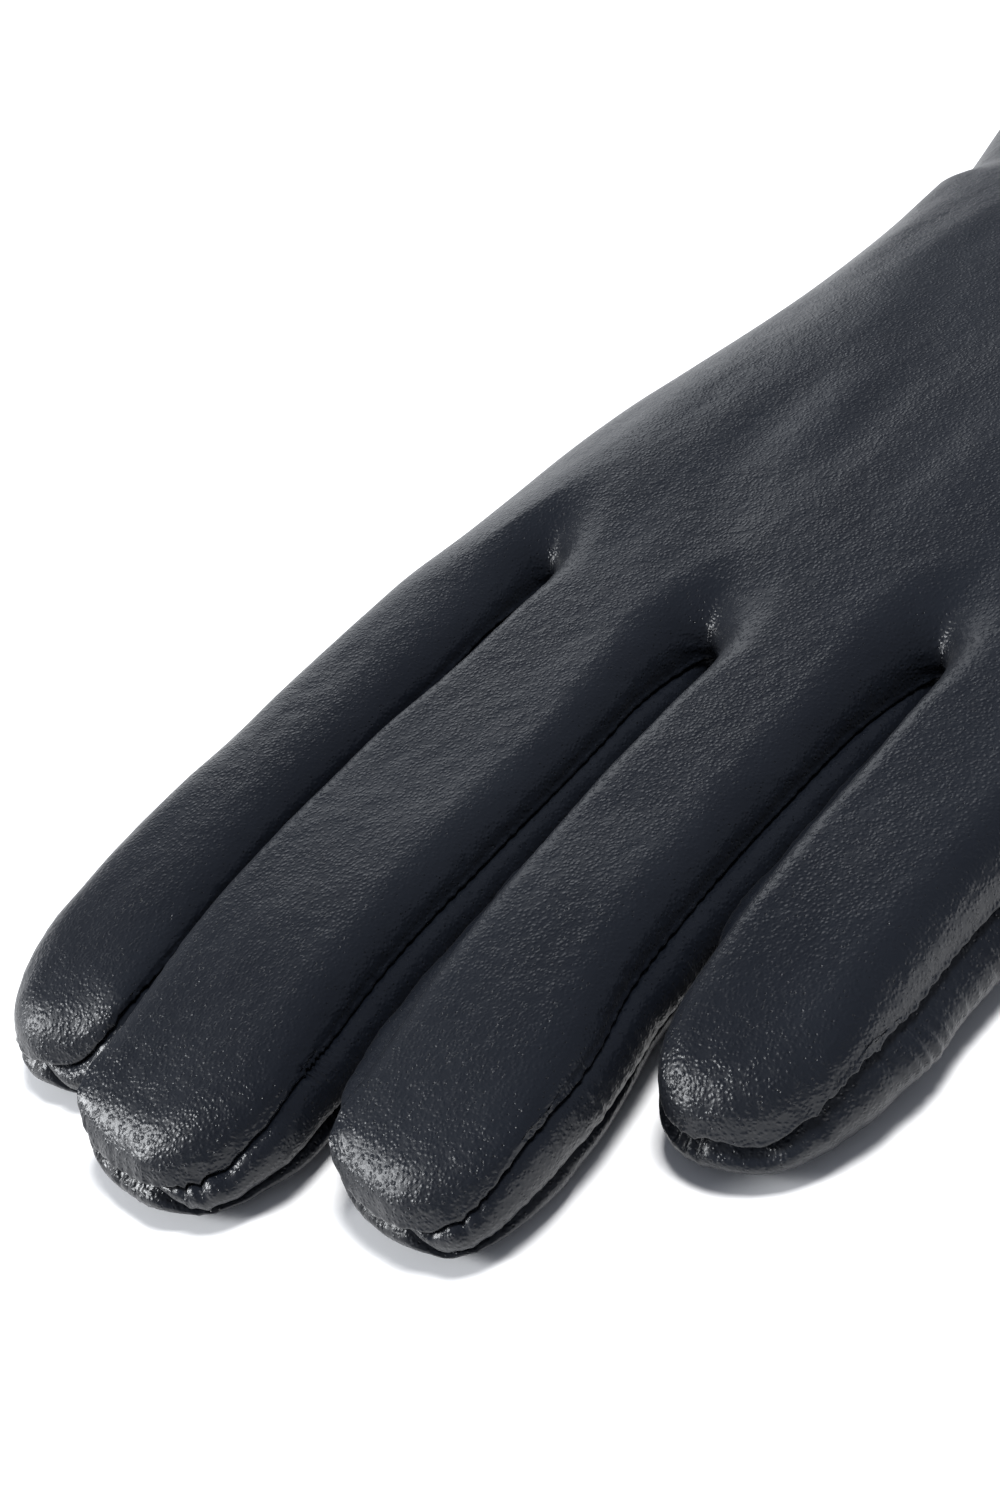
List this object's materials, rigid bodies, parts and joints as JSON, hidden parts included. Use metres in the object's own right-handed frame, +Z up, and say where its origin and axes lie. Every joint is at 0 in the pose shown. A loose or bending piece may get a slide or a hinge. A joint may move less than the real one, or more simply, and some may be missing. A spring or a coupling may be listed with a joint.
{
  "type": "leather dress glove",
  "caption": "Smooth lined leather dress glove for the left hand, palm down with the thumb folded under, fingers hinged to bend.",
  "frame": {"origin": "middle of the bounding box on the table plane, under the palm", "axes": "+Y towards the fingertips, +X towards the index finger's side, +Z up through the back of the hand"},
  "size_m": [0.105, 0.24, 0.022],
  "materials": {
    "leather": "smooth satin nappa",
    "lining": "soft knitted",
    "thread": "matte twisted thread",
    "elastic": "ribbed elastic tape",
    "label": "plain woven"
  },
  "bodies": {
    "hand": {"back_of_hand": "leather", "palm_of_hand": "leather", "crotch_forks": "leather", "hem_back": "leather", "hem_palm": "leather", "wrist_elastic": "elastic", "gather_stitches": "thread", "side_seam_thread": "thread", "hem_thread": "thread", "size_label": "label", "lining_hand": "lining", "index_base_crease": "leather", "middle_base_crease": "leather", "ring_base_crease": "leather", "little_base_crease": "leather"},
    "index_base": {"index_base_back": "leather", "index_base_palm": "leather", "index_base_fourchette": "leather", "index_base_lining": "lining", "index_tip_crease": "leather"},
    "index_tip": {"index_tip_back": "leather", "index_tip_palm": "leather", "index_tip_fourchette": "leather", "index_tip_lining": "lining"},
    "middle_base": {"middle_base_back": "leather", "middle_base_palm": "leather", "middle_base_fourchette": "leather", "middle_base_lining": "lining", "middle_tip_crease": "leather"},
    "middle_tip": {"middle_tip_back": "leather", "middle_tip_palm": "leather", "middle_tip_fourchette": "leather", "middle_tip_lining": "lining"},
    "ring_base": {"ring_base_back": "leather", "ring_base_palm": "leather", "ring_base_fourchette": "leather", "ring_base_lining": "lining", "ring_tip_crease": "leather"},
    "ring_tip": {"ring_tip_back": "leather", "ring_tip_palm": "leather", "ring_tip_fourchette": "leather", "ring_tip_lining": "lining"},
    "little_base": {"little_base_back": "leather", "little_base_palm": "leather", "little_base_fourchette": "leather", "little_base_lining": "lining", "little_tip_crease": "leather"},
    "little_tip": {"little_tip_back": "leather", "little_tip_palm": "leather", "little_tip_fourchette": "leather", "little_tip_lining": "lining"},
    "thumb": {"thumb_front": "leather", "thumb_back": "leather", "thumb_lining": "lining", "thumb_thread": "thread"}
  },
  "joints": [
    {"name": "index_base_joint", "type": "hinge", "parent": "hand", "child": "index_base", "pos_m": [0.04025, 0.044, 0.008], "axis": [-1, 0, 0], "range_deg": [0, 75], "deforming": ["index_base_crease"]},
    {"name": "index_middle_joint", "type": "hinge", "parent": "index_base", "child": "index_tip", "pos_m": [0.03887, 0.071, 0.008], "axis": [-1, 0, 0], "range_deg": [0, 75], "deforming": ["index_tip_crease"]},
    {"name": "middle_base_joint", "type": "hinge", "parent": "hand", "child": "middle_base", "pos_m": [0.01425, 0.044, 0.008], "axis": [-1, 0, 0], "range_deg": [0, 75], "deforming": ["middle_base_crease"]},
    {"name": "middle_middle_joint", "type": "hinge", "parent": "middle_base", "child": "middle_tip", "pos_m": [0.01269, 0.076, 0.008], "axis": [-1, 0, 0], "range_deg": [0, 75], "deforming": ["middle_tip_crease"]},
    {"name": "ring_base_joint", "type": "hinge", "parent": "hand", "child": "ring_base", "pos_m": [-0.01375, 0.044, 0.008], "axis": [-1, 0, 0], "range_deg": [0, 75], "deforming": ["ring_base_crease"]},
    {"name": "ring_middle_joint", "type": "hinge", "parent": "ring_base", "child": "ring_tip", "pos_m": [-0.01525, 0.073, 0.008], "axis": [-1, 0, 0], "range_deg": [0, 75], "deforming": ["ring_tip_crease"]},
    {"name": "little_base_joint", "type": "hinge", "parent": "hand", "child": "little_base", "pos_m": [-0.04045, 0.043, 0.008], "axis": [-1, 0, 0], "range_deg": [0, 75], "deforming": ["little_base_crease"]},
    {"name": "little_middle_joint", "type": "hinge", "parent": "little_base", "child": "little_tip", "pos_m": [-0.0399, 0.064, 0.008], "axis": [-1, 0, 0], "range_deg": [0, 75], "deforming": ["little_tip_crease"]},
    {"name": "thumb_fold", "type": "hinge", "parent": "hand", "child": "thumb", "pos_m": [0.03685, -0.042, 0.005], "axis": [-0.2756, -0.9613, 0], "range_deg": [0, 160]}
  ]
}
